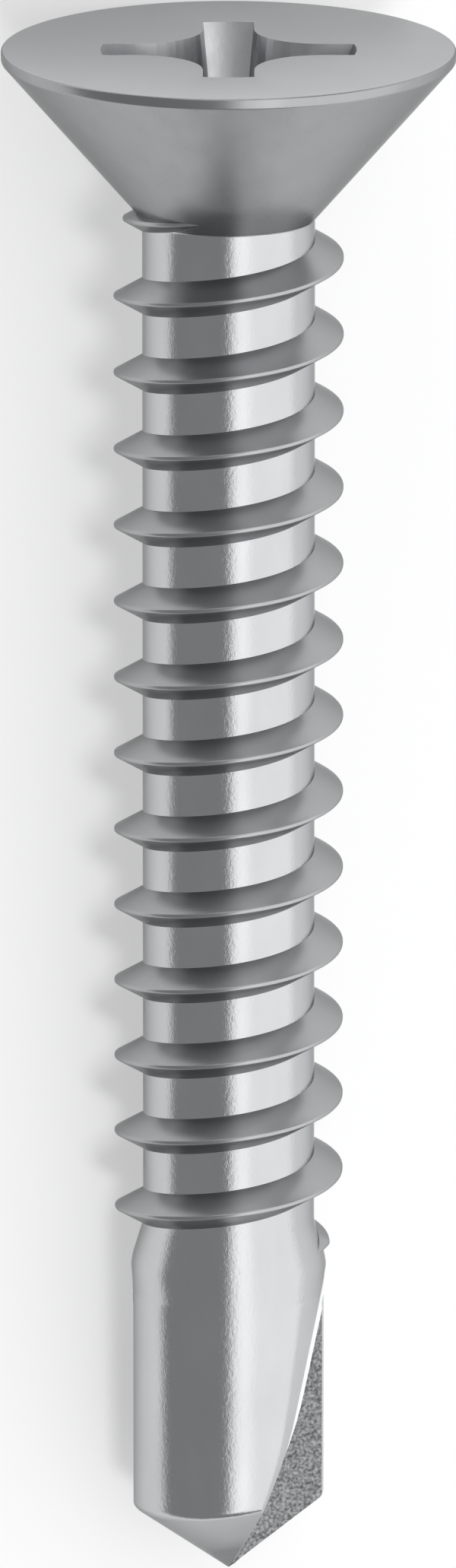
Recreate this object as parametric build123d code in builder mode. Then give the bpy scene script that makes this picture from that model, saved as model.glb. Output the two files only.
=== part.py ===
"""Self drilling screw: countersunk head with a cross recess, spaced thread and a two-fluted drill point.

The screw is worked out upright about the Z axis, with the flat top of the head at Z = 0 and the tip
below it, then laid on its side as it would come to rest. All sizes are in millimetres.
"""

import os
from math import atan, ceil, cos, degrees, radians, tan

from build123d import *

# Size of the whole screw: 4.8 mm thread with 1.6 mm pitch, 32 mm long
length = 32.1
pitch = 1.6
thread_r = 2.345
core_r = 1.76
drill_r = 2.01
drill_l = 6.62

# Countersunk head: a thin upright rim over a cone that runs into the core
head_r = 4.625
head_angle = 82.0
rim_h = 0.2
rim_break = 0.04

# Cross recess in the head
recess_r = 2.6
recess_depth = 2.9
recess_tip = 0.25
wing_w = 1.04
wing_fillet = 1.37
wing_taper = 5.75
wing_end_angle = 26.5

# Thread: a right-hand ridge with a narrow crest and its foot set a little into the core
flank_angle = 60.0
crest_w = 0.07
foot_depth = 0.1

# The last half turn of the ridge sinks toward the axis and ends inside the head
ridge_in_head = 0.376
sink_angle = 25.6

# At the drill the ridge fades down to a blunt bump
fade_lead = 0.06
fade_l = 0.52
bump_r = 2.08
bump_l = 0.2

# Drill end: a short neck from the core out to the drill body, then a relieved point
neck_h = 0.82
point_angle = 100.4
point_relief = 4.3
corner_round = 0.25

# Two straight flutes, each with a rake face in a plane through the axis and a heel wall. The root
# between them comes in from the side of the drill, then bends and meets the axis near the tip
rake_turn = 12.0
flute_angle = 103.0
flute_l = 6.6
flute_runout = 0.06
flute_bend_l = 2.98
flute_bend_share = 0.6144
flute_corner_share = 0.1
flute_end_r = 0.05

# Where the turned surfaces start and end, round the axis
seam_turn = 45.0

# Heights below the top of the head
head_h = rim_h + (head_r - core_r) / tan(radians(head_angle / 2))
neck_end = length - drill_l
neck_start = neck_end - neck_h
fade_start = neck_start - fade_lead
fade_end = fade_start + fade_l
bump_end = fade_end + bump_l
thread_top = head_h - ridge_in_head

# At rest on its side the rim of the head and the corner of the drill touch the floor, and the screw
# has rolled a little towards the heel of a flute
rest_roll = -5.2
flank_h = drill_r / tan(radians(point_angle / 2)) + corner_round * tan(radians(point_angle / 4))
rest_tilt = degrees(atan((head_r - drill_r) / (length - flank_h - rim_h)))


def half_ridge(radius):
    """Half the thickness of the thread ridge at a radius."""
    return crest_w / 2 + (thread_r - radius) * tan(radians(flank_angle / 2))


def ridge_half_turn(outer, sink):
    """Half a turn of the ridge that climbs from the right round the back, closing in by the sink."""
    foot_r = core_r - foot_depth
    with BuildPart() as half_turn:
        with BuildLine():
            coil = Helix(
                pitch=pitch / cos(radians(sink)),
                height=pitch / 2,
                radius=core_r,
                cone_angle=-sink,
            )
        with BuildSketch(Plane.XZ):
            with BuildLine():
                Polyline(
                    (foot_r, -half_ridge(foot_r)),
                    (outer, -half_ridge(outer)),
                    (outer, half_ridge(outer)),
                    (foot_r, half_ridge(foot_r)),
                    close=True,
                )
            make_face()
        sweep(path=coil, is_frenet=True)
    return half_turn.part


# The plain half turn is swept a little too high and turned down to a true crest
with BuildPart() as plain_half:
    add(ridge_half_turn(thread_r + crest_w / 2, 0))
    Cylinder(thread_r, 4 * pitch, mode=Mode.INTERSECT)
sinking_half = ridge_half_turn(thread_r, sink_angle)

# The whole ridge, from inside the head down into the neck. The cut that fades it starts outside
# the crest and ends deeper than the foot
fade_top = 2 * fade_start - fade_end
fade_out_r = 2 * thread_r - bump_r
fade_in_r = core_r - 2 * foot_depth
plain_count = ceil((bump_end - thread_top) / (pitch / 2)) - 1
with BuildPart() as ridge:
    with Locations(Location((0, 0, -thread_top - pitch / 2), (0, 0, 90))):
        add(sinking_half)
    for number in range(plain_count):
        start = thread_top + (number + 2) * pitch / 2
        with Locations(Location((0, 0, -start), (0, 0, 180 * number - 90))):
            add(plain_half.part)
    with BuildSketch(Plane.XZ):
        with BuildLine():
            Polyline(
                (fade_out_r, -fade_top),
                (bump_r, -fade_end),
                (fade_in_r, -bump_end),
                (fade_in_r, -length),
                (2 * thread_r, -length),
                (2 * thread_r, -fade_top),
                close=True,
            )
        make_face()
    revolve(axis=Axis.Z, mode=Mode.SUBTRACT)

# One flute: a sector that runs in from the side of the drill down to the tip, with a rounded corner
rake_out = Vector(1, 0, 0).rotate(Axis.Z, rake_turn)
rake_face = Vector(0, -1, 0).rotate(Axis.Z, rake_turn)
heel_wall = rake_out.rotate(Axis.Z, -flute_angle)
reach = 3 * drill_r
flute_bend_r = flute_bend_share * drill_r
with BuildPart() as flute:
    with BuildSketch(Plane(origin=(0, 0, 0), x_dir=rake_out, z_dir=rake_face)):
        with BuildLine():
            Polyline(
                (drill_r + flute_runout, flute_l - length),
                (flute_bend_r, flute_bend_l - length),
                (flute_end_r, -length),
                (flute_end_r, -length - drill_r),
                (reach, -length - drill_r),
                (reach, flute_l - length),
                close=True,
            )
        make_face()
    extrude(amount=reach, dir=heel_wall)
    corners = [
        edge
        for edge in flute.edges()
        if abs((edge @ 0.5).dot(rake_face)) < 0.001
        and (edge @ 0.5).dot(rake_out) < drill_r + flute_runout
        and abs((edge % 0.5).Z) > 0.5
    ]
    fillet(corners, radius=flute_corner_share * drill_r)

# Recess: a tapered cross inside a cone, with a shallow cone at the bottom
recess_end_r = recess_r - recess_depth * tan(radians(wing_end_angle))
with BuildPart() as recess:
    with BuildSketch() as cross:
        Rectangle(4 * recess_r, wing_w)
        Rectangle(wing_w, 4 * recess_r)
        fillet(
            cross.vertices().sort_by(lambda corner: Vector(corner).length)[:4],
            radius=wing_fillet,
        )
    extrude(amount=-recess_depth - recess_tip, taper=wing_taper)
    with BuildSketch(Plane.XZ):
        with BuildLine():
            Polyline(
                (0, 0),
                (recess_r, 0),
                (recess_end_r, -recess_depth),
                (0, -recess_depth - recess_tip),
                close=True,
            )
        make_face()
    revolve(axis=Axis.Z, mode=Mode.INTERSECT)

# What is turned off the point: each half follows its own tilted cone, so the flank falls away
# behind its lip
relief_h = 1.5 * drill_r
with BuildPart() as relief:
    with BuildSketch(Plane(origin=(0, 0, -length), x_dir=rake_out.rotate(Axis.Z, -flute_angle / 2))):
        Rectangle(6 * drill_r, 3 * drill_r, align=(Align.CENTER, Align.MAX))
    extrude(amount=relief_h)
    with Locations(Location((0, 0, -length), (0, -point_relief, 0))):
        Cone(
            0,
            2 * relief_h * tan(radians(point_angle / 2)),
            2 * relief_h,
            align=(Align.CENTER, Align.CENTER, Align.MIN),
            mode=Mode.SUBTRACT,
        )

with BuildPart() as screw:
    # Head, core, neck and drill body in one turned shape, with its seam away from the floor
    with BuildSketch(Plane.XZ.rotated((0, 0, seam_turn))):
        with BuildLine():
            Polyline(
                (0, 0),
                (head_r - rim_break, 0),
                (head_r, -rim_break),
                (head_r, -rim_h),
                (core_r, -head_h),
                (core_r, -neck_start),
                (drill_r, -neck_end),
                (drill_r, -length),
                (0, -length),
                close=True,
            )
        make_face()
    revolve(axis=Axis.Z)
    with PolarLocations(0, 2):
        add(relief.part, mode=Mode.SUBTRACT)
        add(flute.part, mode=Mode.SUBTRACT)
    # The corner between drill body and flank is a little blunt
    creases = [
        edge
        for edge in screw.edges().filter_by(GeomType.BSPLINE)
        if 0.5 * flank_h < (edge @ 0.5).Z + length < 1.6 * flank_h
        and Vector((edge @ 0.5).X, (edge @ 0.5).Y, 0).length > 0.99 * drill_r
    ]
    fillet(creases, radius=corner_round)
    add(ridge.part)
    add(recess.part, mode=Mode.SUBTRACT)

# Laid on its side, centred over the origin and standing on the floor
laid = Rot(X=rest_tilt - 90) * Rot(Z=rest_roll) * screw.part
box = laid.bounding_box()
screw.part = Pos(-box.center().X, -box.center().Y, -box.min.Z) * laid
screw.part.label = "screw"
os.makedirs("parts", exist_ok=True)
export_step(screw.part, "parts/screw.step")
print("screw", len(screw.part.solids()), "solid, valid", screw.part.is_valid)
print("volume", round(screw.part.volume, 2), "size", screw.part.bounding_box().size)
print("rest tilt", round(rest_tilt, 3))
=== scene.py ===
# %% [markdown]
# # A self drilling screw
# The screw is one piece of bright steel, forged at the head, rolled along the thread and ground at the
# point. The CAD model gives its place and its size. Its solid could be shown with new materials, but
# bright metal shows every facet, and the eye reads its shape from its reflections. So this scene builds
# the same screw again, with finer curves and small roundings, and lets it stand for the CAD solid.

# %% Load the frame
from math import asin, atan, copysign, cos, degrees, pi, radians, sin, sqrt, tan

import bmesh
import bpy
from mathutils import Matrix, Vector


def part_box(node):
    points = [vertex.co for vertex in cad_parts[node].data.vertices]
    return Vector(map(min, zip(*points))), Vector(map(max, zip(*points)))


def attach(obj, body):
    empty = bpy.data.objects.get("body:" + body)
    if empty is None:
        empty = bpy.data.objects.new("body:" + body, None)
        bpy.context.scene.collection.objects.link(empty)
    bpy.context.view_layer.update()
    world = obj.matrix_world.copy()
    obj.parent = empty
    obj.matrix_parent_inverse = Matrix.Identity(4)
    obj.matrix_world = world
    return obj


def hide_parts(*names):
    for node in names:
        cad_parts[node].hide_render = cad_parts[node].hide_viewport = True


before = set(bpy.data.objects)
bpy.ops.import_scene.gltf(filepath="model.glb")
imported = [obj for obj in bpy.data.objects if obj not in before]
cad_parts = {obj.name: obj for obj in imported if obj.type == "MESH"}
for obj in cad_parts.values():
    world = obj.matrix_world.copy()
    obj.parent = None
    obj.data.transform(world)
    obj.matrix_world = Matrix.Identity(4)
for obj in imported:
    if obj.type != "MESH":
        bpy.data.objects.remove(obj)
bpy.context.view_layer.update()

# %% [markdown]
# ## Sizes
# All sizes are in millimetres, as on a maker's drawing, and angles are in degrees. The screw is drawn
# upright, with the flat top of its head at height 0 and its tip below, and is laid down at the end.
# That keeps each form simple, because its own axis is the Z axis while it is made.

# %% Sizes of the screw
mm = 0.001
length = 32.1
pitch = 1.6
thread_r = 2.345
core_r = 1.76
drill_r = 2.01
head_r = 4.625
head_angle = 82.0
rim_h = 0.2
neck_top = 24.66
neck_bottom = 25.48
point_angle = 100.4
rake_turn = 12.0
flute_angle = 103.0
cone_slope = 1 / tan(radians(head_angle / 2))
point_slope = 1 / tan(radians(point_angle / 2))
head_h = rim_h + (head_r - core_r) * cone_slope
point_h = drill_r * point_slope
print("head height", round(head_h, 3), "point height", round(point_h, 3))


# %% A turn about the axis
def around(angle):
    """A turn about the screw's axis, anticlockwise as seen from the head."""
    return Matrix.Rotation(radians(angle), 3, "Z")


# %% [markdown]
# ## The turned body
# Head, core, neck and drill are round, so one outline spun about the axis makes them all. The corners
# of the outline are rounded before the spin: a vertex bevel on a bare line gives an arc, and the spin
# sweeps each arc into a smooth edge. The finished solid could be bevelled instead, but its cuts would
# get in the way.

# %% A turned solid from an outline
turn_steps = 256
merge_dist = 0.0001


def round_corner(bm, corner, offset, segments=6):
    """Replaces a corner of a bare outline by an arc that starts and ends an offset away from it."""
    bmesh.ops.bevel(bm, geom=[corner], offset=offset, offset_type="OFFSET", affect="VERTICES",
                    segments=segments, profile=0.5, material=-1, clamp_overlap=True)


def turned(outline, steps=turn_steps):
    """Spins an outline of (radius, height, rounding) points about the axis into a closed solid."""
    bm = bmesh.new()
    corners = [bm.verts.new((radius, 0, height)) for radius, height, _ in outline]
    for here, there in zip(corners, corners[1:]):
        bm.edges.new((here, there))
    for corner, (_, _, rounding) in zip(corners, outline):
        if rounding:
            round_corner(bm, corner, rounding)
    bmesh.ops.spin(bm, geom=bm.verts[:] + bm.edges[:], cent=(0, 0, 0), axis=(0, 0, 1),
                   angle=2 * pi, steps=steps, use_merge=True, use_duplicate=False)
    bmesh.ops.remove_doubles(bm, verts=bm.verts, dist=merge_dist)
    bmesh.ops.recalc_face_normals(bm, faces=bm.faces)
    return bm


# %% [markdown]
# The outline runs from the middle of the head's top down to the tip. A few rings on the cone keep its
# faces short where the ridge runs into it, so that smooth shading has no long slivers there. The
# photograph shows faint marks from rolling below the neck, and a very shallow groove stands for them.

# %% Turn the body
cone_rings = (3.0, 2.5, 2.2, 2.0)
# Depth of the groove below the head's top, half its width and how far it sinks in
groove_h = 26.06
groove_w = 0.04
groove_d = 0.006


def cone_height(radius):
    """Height of the head's cone at a radius."""
    return -rim_h - (head_r - radius) * cone_slope


body = turned([
    (0, 0, 0),
    (head_r, 0, 0.05),
    (head_r, -rim_h, 0.03),
    *[(radius, cone_height(radius), 0) for radius in cone_rings],
    (core_r, -head_h, 0.03),
    (core_r, -neck_top, 0.12),
    (drill_r, -neck_bottom, 0.16),
    (drill_r, groove_w - groove_h, 0),
    (drill_r - groove_d, -groove_h, 0),
    (drill_r, -groove_w - groove_h, 0),
    (drill_r, point_h - length, 0.12),
    (0, -length, 0),
])
print("body", len(body.faces), "faces")

# %% [markdown]
# ## The relieved point
# Each half of the point is ground as part of its own cone, tilted a few degrees, so that the surface
# falls away behind its cutting lip. Two tilted cones could be cut with booleans, but the round point is
# already there, so each of its vertices only moves along the axis, in proportion to its radius. The
# step between the two halves lies inside the flutes, where it is cut away.

# %% Tilt the two halves of the point
# The tilt reaches a little up the drill's wall, past the rounded corner of the point
point_relief = 4.3
relief_h = point_h + 0.4


def tilted_slope(across):
    """Height over radius of the tilted cone, in a direction given by its cosine to the tilt's own."""
    lean, upright = -sin(radians(point_relief)), cos(radians(point_relief))
    wall = cos(radians(point_angle / 2)) ** 2
    steep = upright ** 2 - wall
    half = across * lean * upright
    return (sqrt(half ** 2 - steep * (across ** 2 * lean ** 2 - wall)) - half) / steep


split = around(rake_turn - flute_angle / 2) @ Vector((0, 1, 0))
moved = 0
for vert in body.verts:
    radius = vert.co.xy.length
    if radius > 0 and vert.co.z < relief_h - length:
        side = -1 if vert.co.dot(split) < 0 else 1
        vert.co.z += radius * (tilted_slope(-side * vert.co.x / radius) - point_slope)
        moved += 1
print("relieved point", moved, "vertices moved")

# %% [markdown]
# ## Finishes, objects and cuts
# The screw has a finish for each way that its steel was worked, and all of them are slots of one mesh,
# since it is one piece. A cut is easiest to get right with a solid tool and the exact boolean solver.
# Every tool has the same slots as the screw, so a new wall keeps the finish of the tool that made it.

# %% Finishes
finish_names = (
    "rolled_steel",
    "forged_steel",
    "head_face_and_painted_highlight",
    "ground_point",
    "thread_steel",
    "recess_steel",
    "cut_steel_painted_shade_and_glints",
)
finishes = {name: number for number, name in enumerate(finish_names)}
materials = [bpy.data.materials.new(name) for name in finish_names]


def paint(faces, finish):
    """Gives faces a finish by its name."""
    for face in faces:
        face.material_index = finishes[finish]


def higher(faces, height):
    """Those of some faces whose middle lies above a height."""
    return [face for face in faces if face.calc_center_median().z > height]


print("finishes", len(materials))


# %% Objects and cuts
def as_object(bm, name):
    """Puts a bmesh in an object that has all the finishes."""
    mesh = bpy.data.meshes.new(name)
    for face in bm.faces:
        face.smooth = True
    bm.to_mesh(mesh)
    bm.free()
    for material in materials:
        mesh.materials.append(material)
    shown = bpy.data.objects.new(name, mesh)
    bpy.context.scene.collection.objects.link(shown)
    return shown


def combine(solid, tool, operation):
    """Adds a tool to a solid, cuts it away or keeps what they share, and removes the tool."""
    step = solid.modifiers.new("step", "BOOLEAN")
    step.object, step.operation, step.solver = tool, operation, "EXACT"
    view = bpy.context.evaluated_depsgraph_get()
    mesh = bpy.data.meshes.new_from_object(solid.evaluated_get(view))
    solid.modifiers.clear()
    solid.data = mesh
    print(tool.name, operation.lower(), "leaves", len(mesh.polygons), "faces")
    bpy.data.objects.remove(tool)


# %% [markdown]
# The body's finishes go by height: the point is ground, the drill and the core are rolled, the cone of
# the head is forged, and its flat top is pressed smooth. Each is painted over the one below it.

# %% Give the body its finishes
# How far below the corner of the point, above the foot of the cone and below the head's top a finish
# changes
corner_band = 0.15
foot_band = 0.05
top_band = 0.001

paint(body.faces, "ground_point")
paint(higher(body.faces, point_h - length - corner_band), "rolled_steel")
paint(higher(body.faces, foot_band - head_h), "forged_steel")
paint(higher(body.faces, -top_band), "head_face_and_painted_highlight")
screw = as_object(body, "screw_body")
print("screw body", len(screw.data.polygons), "faces")

# %% [markdown]
# ## The root of a flute
# A flute is a corner ground out of the drill, with a flat rake face and a heel wall. The root between
# them comes in from the side of the drill, bends where the grinding wheel turned, and meets the axis
# at the tip. Its line is drawn once, as radius and height above the tip, since both the flute and the
# blunting of its heel follow it. The bend is a curve with one corner to steer it, which is smoother
# than a corner and simpler than an arc that has to touch two lines.

# %% The line of the root
def bend(start, corner, end, steps=4):
    """Points of a smooth bend from start to end, which sets out and arrives in line with a corner."""
    start, corner, end = Vector(start), Vector(corner), Vector(end)
    shares = [number / steps for number in range(steps + 1)]
    return [start * (1 - t) ** 2 + corner * 2 * t * (1 - t) + end * t ** 2 for t in shares]


root_line = [
    (2.07, 6.6),
    *bend((1.47, 3.8), (1.3, 2.95), (0.975, 2.2)),
    (0.786, 1.75),
    (0.05, 0.0),
    (0.05, -1.0),
]


def root_radius(height):
    """Radius of the flute's root at a height above the tip."""
    for (high_r, high_h), (low_r, low_h) in zip(root_line, root_line[1:]):
        if low_h <= height <= high_h:
            return low_r + (high_r - low_r) * (height - low_h) / (high_h - low_h)


print("root line", len(root_line), "points")

# %% [markdown]
# ## The blunt heel
# Beside each flute the drill's round wall doesn't run on to a sharp edge: it bends in first, in a soft
# strip that the photograph shows as a grey band. A bevel on that edge would be even, but the strip
# follows the root and widens upwards. So its tool is lofted: one section for each height, bridged to
# the next. A section follows the drill's wall, turns in over four sides, and closes outside the drill.

# %% A closed loft and a pair of cuts
def loft(rings):
    """A closed solid through rings of points with the same count."""
    bm = bmesh.new()
    loops = []
    for ring in rings:
        corners = [bm.verts.new(point) for point in ring]
        loops.append([bm.edges.new(pair) for pair in zip(corners, corners[1:] + corners[:1])])
    for end in (loops[0], loops[-1]):
        bmesh.ops.contextual_create(bm, geom=end)
    for low_loop, high_loop in zip(loops, loops[1:]):
        bmesh.ops.bridge_loops(bm, edges=low_loop + high_loop)
    bmesh.ops.recalc_face_normals(bm, faces=bm.faces)
    return bm


def cut_both_sides(make_tool, name):
    """Cuts a tool out of the screw on one side, and once more half a turn further on."""
    for turn in (0, 180):
        tool = make_tool()
        bmesh.ops.rotate(tool, verts=tool.verts, cent=(0, 0, 0), matrix=around(turn))
        combine(screw, as_object(tool, name), "DIFFERENCE")


# %% Blunt the heel beside each flute
# Direction of the last side, and the least that it leans in from the drill's wall
heel_turn = 53.0
least_lean = 0.5
# Distance from the root to where the blunting starts, at one height, and its growth per millimetre
heel_inset = 0.24
heel_inset_h = 2.29
heel_inset_growth = 0.055
# Each side's share of the whole lean and its width. The tool starts a little before the first side
heel_sides = [(0.25, 0.05), (0.5, 0.06), (0.75, 0.06), (1.0, 1.4)]
heel_lead = 0.05
heel_clear = 1.5
# Heights of the sections above the tip
heel_low = 0.7
heel_step = 0.25
heel_count = 23


def heel_section(height):
    """The section of the heel's tool at a height above the tip."""
    inset = heel_inset + heel_inset_growth * (height - heel_inset_h)
    x = root_radius(height) * cos(radians(rake_turn)) - inset
    angle = asin(x / drill_r)
    lean = max(radians(heel_turn) - angle, radians(least_lean))
    sides = [angle + lean * share for share, _ in heel_sides]
    along = [Vector((cos(side), sin(side), 0)) for side in sides]
    point = Vector((x, -sqrt(drill_r ** 2 - x ** 2), height - length))
    ring = [point - along[0] * heel_lead]
    for direction, (_, width) in zip(along, heel_sides):
        point = point + direction * width
        ring.append(point)
    outward = Vector((sin(angle), -cos(angle), 0)) * heel_clear
    return ring + [ring[-1] + outward, ring[0] + outward]


def heel_tool():
    """The solid that blunts one heel."""
    heel = loft([heel_section(heel_low + heel_step * number) for number in range(heel_count)])
    paint(heel.faces, "rolled_steel")
    return heel


cut_both_sides(heel_tool, "heel_tool")

# %% [markdown]
# ## The flutes
# The rake face is flat and lies in a plane through the axis, so the tool of a flute is the root's line
# drawn in that plane, closed outside the drill, and extruded along the heel wall. The line could be a
# path for a sweep, but one extrusion gives both flat faces exactly. The edges along the root are then
# bevelled, because the grinding wheel has a round corner. The photograph shows that round corner as a
# bright line down to a little below the bend, so that length of it is painted with the pale finish of
# the head's top as a painted highlight, and the rest keeps the coarse grain of the flat faces.

# %% Cut the two flutes
rake_out = around(rake_turn) @ Vector((1, 0, 0))
heel_wall = around(-flute_angle) @ rake_out
flute_reach = 6.0
root_rounding = 0.15
root_segments = 5
# From this height above the tip upwards, the rounded root is painted pale as a painted highlight
painted_highlight_end = 1.9


def flute_tool():
    """The solid that cuts one flute."""
    flute = bmesh.new()
    line = root_line + [(flute_reach, root_line[-1][1]), (flute_reach, root_line[0][1])]
    places = [rake_out * radius + Vector((0, 0, height - length)) for radius, height in line]
    ring = [flute.verts.new(place) for place in places]
    face = flute.faces.new(ring)
    wall = bmesh.ops.extrude_face_region(flute, geom=[face], use_keep_orig=True)
    far = [part for part in wall["geom"] if isinstance(part, bmesh.types.BMVert)]
    bmesh.ops.translate(flute, verts=far, vec=heel_wall * flute_reach)
    bmesh.ops.recalc_face_normals(flute, faces=flute.faces)
    root = set(ring[:len(root_line)])
    edges = [edge for edge in flute.edges if set(edge.verts) <= root]
    rounding = bmesh.ops.bevel(flute, geom=edges, offset=root_rounding, offset_type="OFFSET",
                               affect="EDGES", segments=root_segments, profile=0.5, material=-1,
                               clamp_overlap=True)
    # The flute faces get a dark, speckled colour: partly painted shade and painted glints over a real
    # coarse grain
    paint(flute.faces, "cut_steel_painted_shade_and_glints")
    # Painted highlight: the rounded root above that height gets the pale finish of the head's top
    paint(higher(rounding["faces"], painted_highlight_end - length), "head_face_and_painted_highlight")
    return flute


cut_both_sides(flute_tool, "flute_tool")

# %% [markdown]
# ## The broken edge
# Where the rake face meets the drill's wall, the photograph shows a thin bright line: the edge is
# broken, so it catches the light. An edge bevel would need that edge picked out of the cut mesh. A
# thin three-sided tool, set across the edge, takes the same sliver away.

# %% Break the outer edge of each rake face
# Width and depth of the sliver, and the share of both by which the tool starts before it
edge_w = 0.04
edge_d = 0.02
edge_lead = 0.3
edge_heights = (1.2, 6.0)
behind = around(rake_turn) @ Vector((0, 1, 0))
edge_section = [
    (drill_r - (1 + edge_lead) * edge_w, -edge_lead * edge_d),
    (drill_r + edge_w, 2 * edge_d),
    (drill_r + edge_w, -edge_lead * edge_d),
]


def edge_ring(height):
    """The section of the edge's tool at a height above the tip."""
    return [rake_out * out + behind * back + Vector((0, 0, height - length)) for out, back in edge_section]


def edge_tool():
    """The solid that breaks one edge."""
    strip = loft([edge_ring(height) for height in edge_heights])
    paint(strip.faces, "ground_point")
    return strip


cut_both_sides(edge_tool, "edge_tool")

# %% [markdown]
# ## The cross recess
# The driver fits in a cross with rounded inner corners that narrows as it goes down, and whose wing
# ends lean in. The punch that presses it could be built from four wings, but an outline of the cross is
# shorter: it is extruded, its far end is drawn in, and a second boolean cuts it to a cone, which leans
# all four wing ends at once and gives the recess its pointed bottom.

# %% Sizes of the recess
recess_r = 2.6
recess_depth = 2.9
recess_tip = 0.25
wing_w = 1.04
wing_fillet = 1.37
# How far a wing's side and its end lean in, per millimetre of depth
wing_taper = tan(radians(5.75))
wing_end = tan(radians(26.5))
# The tool starts above the head, and its far ends are known by a small slack
above = 0.5
slack = 0.001
cone_steps = 128
fillet_segments = 10
half_wing = wing_w / 2 + above * wing_taper
fillet = wing_fillet - above * wing_taper
arm = 2 * recess_r
depth = above + recess_depth + recess_tip
print("recess", 2 * recess_r, "across and", recess_depth + recess_tip, "deep")


# %% The tapered cross
def draw_in(vert):
    """Moves a corner of the cross to the far end, where each wing is narrower by the taper."""
    x, y = vert.co.xy
    centre = Vector((copysign(half_wing + fillet, x), copysign(half_wing + fillet, y)))
    if abs(x) > arm - slack:
        vert.co.y -= copysign(depth * wing_taper, y)
    elif abs(y) > arm - slack:
        vert.co.x -= copysign(depth * wing_taper, x)
    else:
        vert.co.xy = centre + (vert.co.xy - centre) * (1 + depth * wing_taper / fillet)
    vert.co.z -= depth


cross = bmesh.new()
corners = []
for quarter in range(4):
    wing = [around(90 * quarter) @ Vector((x, y, above))
            for x, y in ((arm, half_wing), (half_wing, half_wing), (half_wing, arm))]
    corners += [cross.verts.new(place) for place in wing]
for here, there in zip(corners, corners[1:] + corners[:1]):
    cross.edges.new((here, there))
for corner in corners[1::3]:
    round_corner(cross, corner, fillet, fillet_segments)
bmesh.ops.contextual_create(cross, geom=cross.edges[:])
sunk = bmesh.ops.extrude_face_region(cross, geom=cross.faces[:], use_keep_orig=True)
for vert in [part for part in sunk["geom"] if isinstance(part, bmesh.types.BMVert)]:
    draw_in(vert)
bmesh.ops.recalc_face_normals(cross, faces=cross.faces)
print("cross", len(cross.faces), "faces")

# %% Cut the recess
cone = turned([
    (0, above / 2, 0),
    (recess_r + above / 2 * wing_end, above / 2, 0),
    (recess_r - recess_depth * wing_end, -recess_depth, 0),
    (0, -recess_depth - recess_tip, 0),
], cone_steps)
paint(cross.faces, "recess_steel")
paint(cone.faces, "recess_steel")
recess = as_object(cross, "recess_tool")
combine(recess, as_object(cone, "cone_tool"), "INTERSECT")
combine(screw, recess, "DIFFERENCE")

# %% [markdown]
# ## The thread
# The rolled thread is one ridge with a narrow crest that climbs the core. It could be a curve with a
# bevel object, but its section would tilt. So a face is drawn as the section, its foot a little inside
# the core, and a spin with a rise per step sweeps it along the helix. With half as many steps per turn
# as the body has, the two sets of facets stay in line.

# %% Sweep the ridge
ridge_steps = turn_steps // 2
# The ridge runs between two angles, which go on counting past full turns
top_turn = 270.0
bottom_turn = -4720.0
# At one angle the middle of the ridge lies this deep below the head's top
mark_turn = 90.0
mark_depth = 3.919
flank_angle = 60.0
crest_half = 0.035
crest_rounding = 0.02
crest_segments = 2
foot_depth = 0.1
flank_slope = tan(radians(flank_angle / 2))
foot_r = core_r - foot_depth


def ridge_height(angle):
    """Height of the middle of the ridge at an angle round the axis."""
    return pitch * (angle - mark_turn) / 360 - mark_depth


def half_ridge(radius):
    """Half the thickness of the ridge at a radius."""
    return crest_half + (thread_r - radius) * flank_slope


steps = round((top_turn - bottom_turn) / 360 * ridge_steps)
swept = 360 * steps / ridge_steps
bottom_turn = top_turn - swept
ridge = bmesh.new()
section = [
    (foot_r, -half_ridge(foot_r)),
    (thread_r, -crest_half),
    (thread_r, crest_half),
    (foot_r, half_ridge(foot_r)),
]
bottom = ridge_height(bottom_turn)
places = [around(bottom_turn) @ Vector((radius, 0, bottom + height)) for radius, height in section]
ring = [ridge.verts.new(place) for place in places]
for here, there in zip(ring, ring[1:] + ring[:1]):
    ridge.edges.new((here, there))
for corner in ring[1:3]:
    round_corner(ridge, corner, crest_rounding, crest_segments)
bmesh.ops.contextual_create(ridge, geom=ridge.edges[:])
bmesh.ops.spin(ridge, geom=ridge.faces[:] + ridge.edges[:] + ridge.verts[:], cent=(0, 0, 0),
               axis=(0, 0, 1), dvec=(0, 0, pitch / ridge_steps), angle=radians(swept), steps=steps,
               use_duplicate=False)
bmesh.ops.recalc_face_normals(ridge, faces=ridge.faces)
print("ridge", len(ridge.faces), "faces over", round(swept / 360, 2), "turns")

# %% [markdown]
# ## Where the thread ends
# Under the head the ridge keeps its crest and sinks until the cone swallows it. At the drill it sinks
# into the neck and leaves a low bump, and its last few degrees dive inside. Both ends could be cut to
# shape, but a rolled thread flows out. So each vertex finds from its angle and its height how far it
# has climbed, and moves in by an amount that grows with the turn.

# %% Sink both ends of the ridge
# Under the head the ridge sinks by this much in each half turn
head_sink = 0.383
# At the neck it sinks softly over these degrees, and the bump that is left lies a little lower
neck_start = -4480.0
neck_fade = 200.0
neck_sink = 0.265
bump_drop = 0.01
# Its very end dives inside the neck
end_start = -4680.0
end_fade = 40.0
end_sink = 0.4


def ease(share):
    """A share from 0 to 1 with a soft start and end."""
    share = min(max(share, 0.0), 1.0)
    return share * share * (3 - 2 * share)


for vert in ridge.verts:
    angle = -degrees(Vector((1, 0)).angle_signed(vert.co.xy))
    climbed = (vert.co.z + mark_depth) / pitch * 360 + mark_turn
    angle += 360 * round((climbed - angle) / 360)
    neck_share = ease((neck_start - angle) / neck_fade)
    sink = head_sink * max(angle - mark_turn, 0.0) / 180
    sink += neck_sink * neck_share + end_sink * max(end_start - angle, 0.0) / end_fade
    radius = vert.co.xy.length
    vert.co.xy *= (radius - sink) / radius
    vert.co.z -= bump_drop * neck_share
paint(ridge.faces, "thread_steel")
combine(screw, as_object(ridge, "ridge_tool"), "UNION")

# %% [markdown]
# ## Laid down
# The screw lies on the rim of its head and on the rounded corner of its drill, so its axis rises a few
# degrees towards the head, and it has rolled a little. Turning the object would be quicker, but the
# piece's object has to stay at the origin. So the mesh itself is turned, moved and scaled to metres.

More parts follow.
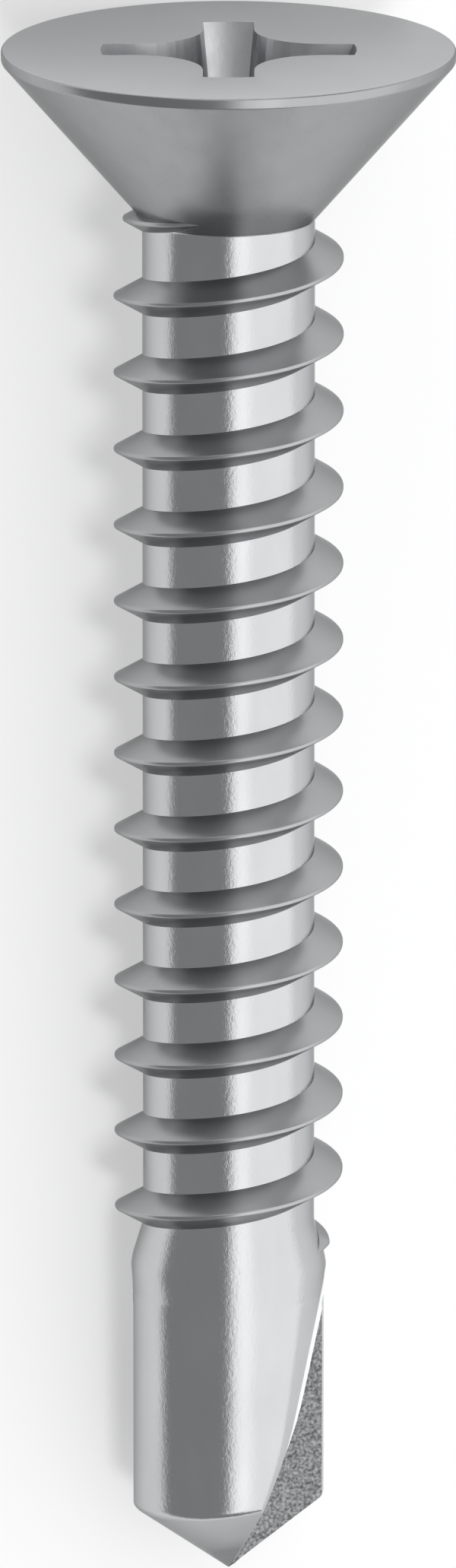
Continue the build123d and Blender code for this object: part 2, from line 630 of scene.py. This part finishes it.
# %% The place of the lying screw
corner_round = 0.25
rim_break = 0.04
rest_roll = -5.2
flank_h = point_h + corner_round * tan(radians(point_angle / 4))
tilt = atan((head_r - drill_r) / (length - flank_h - rim_h))
cad_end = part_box("screw")[1].y / mm
top_y = cad_end - (head_r - rim_break) * sin(tilt)
top_z = head_r * cos(tilt) + rim_h * sin(tilt)
laid = Matrix((
    (1, 0, 0, 0),
    (0, sin(tilt), cos(tilt), top_y),
    (0, -cos(tilt), sin(tilt), top_z),
    (0, 0, 0, 1),
)) @ around(rest_roll).to_4x4()
print("top of the head", round(top_y, 3), round(top_z, 3), "tilt", round(degrees(tilt), 3))

# %% [markdown]
# Smooth shading has to stop at a real edge. An edge is sharp where its faces meet at a wide angle, and
# also where a thread flank, the recess or a flute meets another finish, however flat the angle.

# %% Clean the mesh, mark its sharp edges and lay it down
sharp_angle = 28.0
sliver = 0.0001
sharp_finishes = {finishes[name] for name in ("thread_steel", "recess_steel", "cut_steel_painted_shade_and_glints")}

edited = bmesh.new()
edited.from_mesh(screw.data)
bmesh.ops.dissolve_degenerate(edited, dist=sliver, edges=edited.edges)
for edge in edited.edges:
    sides = {face.material_index for face in edge.link_faces}
    parted = len(sides) > 1 and sides & sharp_finishes
    edge.smooth = not (parted or edge.calc_face_angle(0.0) > radians(sharp_angle))
open_edges = sum(not edge.is_manifold for edge in edited.edges)
print("screw", len(edited.faces), "faces, open edges", open_edges)
edited.to_mesh(screw.data)
edited.free()
screw.data.transform(Matrix.Scale(mm, 4) @ laid)
screw.name = "steel_screw"
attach(screw, "root")
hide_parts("screw")

# %% [markdown]
# ## Bare steel
# Each finish is the same metal worked in another way, so one function makes them all. A metal could be
# one colour and one roughness, but real steel has a soft cloudiness and a fine grain. A wide noise moves
# the shade and the roughness a little, and a fine noise gives a bump. Both read Object coordinates,
# turned by the screw's tilt, so that their middle scale runs along the screw and can draw the grain out.

# %% Nodes for a grain
# Steel is very slightly blue, and darker where it is seen edge on
metal_tint = (0.98, 1.0, 1.015)
edge_tint = (0.5, 0.5, 0.5, 1)
# The middle of a noise, which is spread between the two values of a finish
grain_low = 0.3
grain_high = 0.7
cloud_detail = 3.0
fine_detail = 4.0
fine_roughness = 0.7


def node(material, kind, **values):
    """Adds a node to a material, with its inputs set by name."""
    made = material.node_tree.nodes.new(kind)
    for key, value in values.items():
        made.inputs[key].default_value = value
    return made


def noise(material, scales, detail, roughness=0.5):
    """Grain on the piece's own coordinates, with scales per millimetre across, along and up."""
    links = material.node_tree.links
    place = node(material, "ShaderNodeTexCoord")
    per_metre = [scale / mm for scale in scales]
    turned_place = node(material, "ShaderNodeMapping", Rotation=(-tilt, 0, 0), Scale=per_metre)
    grain = node(material, "ShaderNodeTexNoise", Scale=1.0, Detail=detail, Roughness=roughness)
    links.new(place.outputs["Object"], turned_place.inputs["Vector"])
    links.new(turned_place.outputs["Vector"], grain.inputs["Vector"])
    return grain.outputs["Fac"]


def between(material, grain, low, high):
    """Spreads the middle of a grain between two values."""
    spread = node(material, "ShaderNodeMapRange")
    ends = (("From Min", grain_low), ("From Max", grain_high), ("To Min", low), ("To Max", high))
    for socket, value in ends:
        spread.inputs[socket].default_value = value
    material.node_tree.links.new(grain, spread.inputs["Value"])
    return spread.outputs["Result"]


# %% A steel finish
def steel(name, shade, rough, wide, fine, bump):
    """Bare steel, with its shade and roughness from a wide grain and its bump in mm from a fine one."""
    material = materials[finishes[name]]
    material.use_nodes = True
    links = material.node_tree.links
    shader = material.node_tree.nodes["Principled BSDF"]
    shader.inputs["Metallic"].default_value = 1.0
    shader.inputs["Specular Tint"].default_value = edge_tint
    clouds = noise(material, wide, cloud_detail)
    colour = node(material, "ShaderNodeCombineColor")
    for channel, tint in enumerate(metal_tint):
        links.new(between(material, clouds, shade[0] * tint, shade[1] * tint), colour.inputs[channel])
    links.new(colour.outputs["Color"], shader.inputs["Base Color"])
    links.new(between(material, clouds, rough[1], rough[0]), shader.inputs["Roughness"])
    relief = node(material, "ShaderNodeBump", Strength=1.0, Distance=bump * mm)
    links.new(noise(material, fine, fine_detail, fine_roughness), relief.inputs["Height"])
    links.new(relief.outputs["Normal"], shader.inputs["Normal"])
    print(name, "shade", shade, "roughness", rough)


# %% [markdown]
# ## Rolled steel
# Between hard dies the core and the drill come out almost as bright as a mirror, with a fine grain that
# breaks the edges of a reflection into small glints. Low roughness gives the mirror, and the bump
# gives the glints. The thread's flanks slide along the dies, so they are duller and even.

# %% The rolled drill, core and thread
steel("rolled_steel", shade=(0.54, 0.58), rough=(0.08, 0.13),
      wide=(1.2, 0.5, 1.2), fine=(14.0, 9.0, 14.0), bump=0.0050)
steel("thread_steel", shade=(0.43, 0.445), rough=(0.28, 0.31),
      wide=(1.0, 1.0, 1.0), fine=(8.0, 8.0, 8.0), bump=0.0005)

# %% [markdown]
# ## Forged steel
# The head is pressed to shape cold. Its cone is a satin grey, drawn out along the screw, and its top is
# pressed flat by a smooth punch, which leaves it paler. The recess is punched deeper, and the punch
# drags faint lines down its walls, so its grain is long as well.

# %% The forged head and its recess
steel("forged_steel", shade=(0.385, 0.40), rough=(0.25, 0.28),
      wide=(2.0, 0.3, 2.0), fine=(9.0, 1.5, 9.0), bump=0.0006)
# The same pale finish is painted on the flutes' rounded roots, where it is a painted highlight
steel("head_face_and_painted_highlight", shade=(0.76, 0.79), rough=(0.16, 0.19),
      wide=(0.7, 0.7, 0.7), fine=(7.0, 7.0, 7.0), bump=0.0005)
steel("recess_steel", shade=(0.54, 0.60), rough=(0.24, 0.36),
      wide=(3.0, 0.5, 3.0), fine=(9.0, 1.0, 9.0), bump=0.0020)

# %% [markdown]
# ## Ground and cut steel
# The point and the broken edges are ground fine, to an even satin. The faces of the flutes are cut
# coarse: in the photograph they are speckled light and dark. Their colour is kept dark, partly as
# painted shade in the flutes, and its light speckle is partly painted glints over a real grain. A bump
# alone would fade with distance, so the speckle is mostly in the colour, and the bump only adds to it.

# %% The ground point and the cut flutes
steel("ground_point", shade=(0.50, 0.53), rough=(0.24, 0.28),
      wide=(1.0, 1.0, 1.0), fine=(8.0, 8.0, 8.0), bump=0.0008)
# Painted shade and painted glints: dark colour with light speckle on the flute faces
steel("cut_steel_painted_shade_and_glints", shade=(0.10, 0.38), rough=(0.35, 0.50),
      wide=(16.0, 16.0, 16.0), fine=(22.0, 22.0, 22.0), bump=0.0080)

# %% [markdown]
# ## The floor
# The screw lies on a plain pale floor that is nearly white in the photograph. More light could whiten
# it, but the steel would be too bright as well. So a share of the floor's surface shows white by
# itself, to the camera and to mirroring or clear things alike, and the rest takes light and shadow.

# %% Floor
floor_half = 2.0
floor_colour = (0.9, 0.9, 0.9, 1)
white_share = 0.4

floor_mesh = bpy.data.meshes.new("floor")
floor_bm = bmesh.new()
bmesh.ops.create_grid(floor_bm, x_segments=1, y_segments=1, size=floor_half)
floor_bm.to_mesh(floor_mesh)
floor_bm.free()
ground = bpy.data.objects.new("floor", floor_mesh)
bpy.context.scene.collection.objects.link(ground)

pale = bpy.data.materials.new("pale_floor")
pale.use_nodes = True
nodes, links = pale.node_tree.nodes, pale.node_tree.links
nodes["Principled BSDF"].inputs["Base Color"].default_value = floor_colour
nodes["Principled BSDF"].inputs["Roughness"].default_value = 1.0
white = nodes.new("ShaderNodeEmission")
path = nodes.new("ShaderNodeLightPath")
seen = path.outputs["Is Camera Ray"]
for ray in ("Is Glossy Ray", "Is Transmission Ray"):
    either = nodes.new("ShaderNodeMath")
    either.operation = "MAXIMUM"
    links.new(seen, either.inputs[0])
    links.new(path.outputs[ray], either.inputs[1])
    seen = either.outputs[0]
part = nodes.new("ShaderNodeMath")
part.operation = "MULTIPLY"
part.inputs[1].default_value = white_share
links.new(seen, part.inputs[0])
mix = nodes.new("ShaderNodeMixShader")
links.new(part.outputs[0], mix.inputs[0])
links.new(nodes["Principled BSDF"].outputs[0], mix.inputs[1])
links.new(white.outputs[0], mix.inputs[2])
links.new(mix.outputs[0], nodes["Material Output"].inputs["Surface"])
ground.data.materials.append(pale)
print("floor", 2 * floor_half, "m wide")

# %% [markdown]
# ## The light
# On bright steel one sees the lamps themselves. The photograph has a dark half and a bright half along
# the screw, with a sharp edge between them. So one large softbox covers one side of the sky and makes
# the bright half, and the plain grey world makes the dark one. A narrow lamp beside its edge adds a
# brighter band, and one beyond the head lights its top. The last is small and high: it throws the
# head's shadow on the floor. Mirrored in the steel it would be a hot spot, so gloss doesn't see it.

# %% World
world_grey = 0.31

world = bpy.data.worlds.new("studio")
bpy.context.scene.world = world
world.use_nodes = True
sky = world.node_tree.nodes["Background"]
sky.inputs["Color"].default_value = (1, 1, 1, 1)
sky.inputs["Strength"].default_value = world_grey
print("world", world_grey)


# %% Lamps
def softbox(name, place, target, width, height, power):
    """A soft rectangular lamp at a place, facing a target, in metres and watts."""
    lamp = bpy.data.lights.new(name, "AREA")
    lamp.shape, lamp.size, lamp.size_y, lamp.energy = "RECTANGLE", width, height, power
    shown = bpy.data.objects.new(name, lamp)
    shown.location = place
    shown.rotation_euler = (Vector(target) - Vector(place)).to_track_quat("-Z", "Y").to_euler()
    bpy.context.scene.collection.objects.link(shown)
    print(name, power, "W")
    return shown


softbox("key_light", place=(0.3, -0.2, 0.3), target=(0, -0.2, 0), width=1.2, height=0.93, power=3.44)
softbox("band_light", place=(0.1, -0.2, 0.41), target=(0, -0.2, 0), width=1.2, height=0.13, power=0.12)
softbox("fill_light", place=(0, 0.5, 0.25), target=(0, 0, 0), width=0.4, height=0.3, power=0.35)
top_light = softbox("top_light", place=(0.05, -0.104, 0.48), target=(0, 0, 0),
                    width=0.08, height=0.08, power=0.75)
top_light.visible_glossy = False

# %% [markdown]
# ## The camera
# The photograph shows the screw upright from a little above its head. The screw lies here, so the
# camera is placed in the screw's own frame, as it stood in the photograph, and turned with it: it then
# looks down on the floor. Its distance, its height and its focal length were fitted to the screw in the
# photograph.

# %% Camera
photo_h = 2062
focal_px = 27583.0
sensor_h = 36.0
# The camera's height in degrees and its distance, from a point on the screw that it looks at
elevation = 14.53
distance = 429.2
aim_across = -0.0121
aim_depth = 15.388

view = bpy.data.cameras.new("photo_camera")
view.sensor_fit, view.sensor_height = "VERTICAL", sensor_h
view.lens = sensor_h * focal_px / photo_h
aim = laid @ Vector((aim_across, 0, -aim_depth))
level = Matrix.Rotation(pi / 2, 3, "X")
turn = laid.to_3x3() @ Matrix.Rotation(-radians(elevation), 3, "X") @ level
camera = bpy.data.objects.new("photo_camera", view)
camera.location = (aim + turn @ Vector((0, 0, distance))) * mm
camera.rotation_euler = turn.to_euler()
bpy.context.scene.collection.objects.link(camera)
bpy.context.scene.camera = camera
bpy.context.scene.view_settings.view_transform = "Standard"
print("camera at", [round(value, 3) for value in camera.location], "lens", round(view.lens, 1))
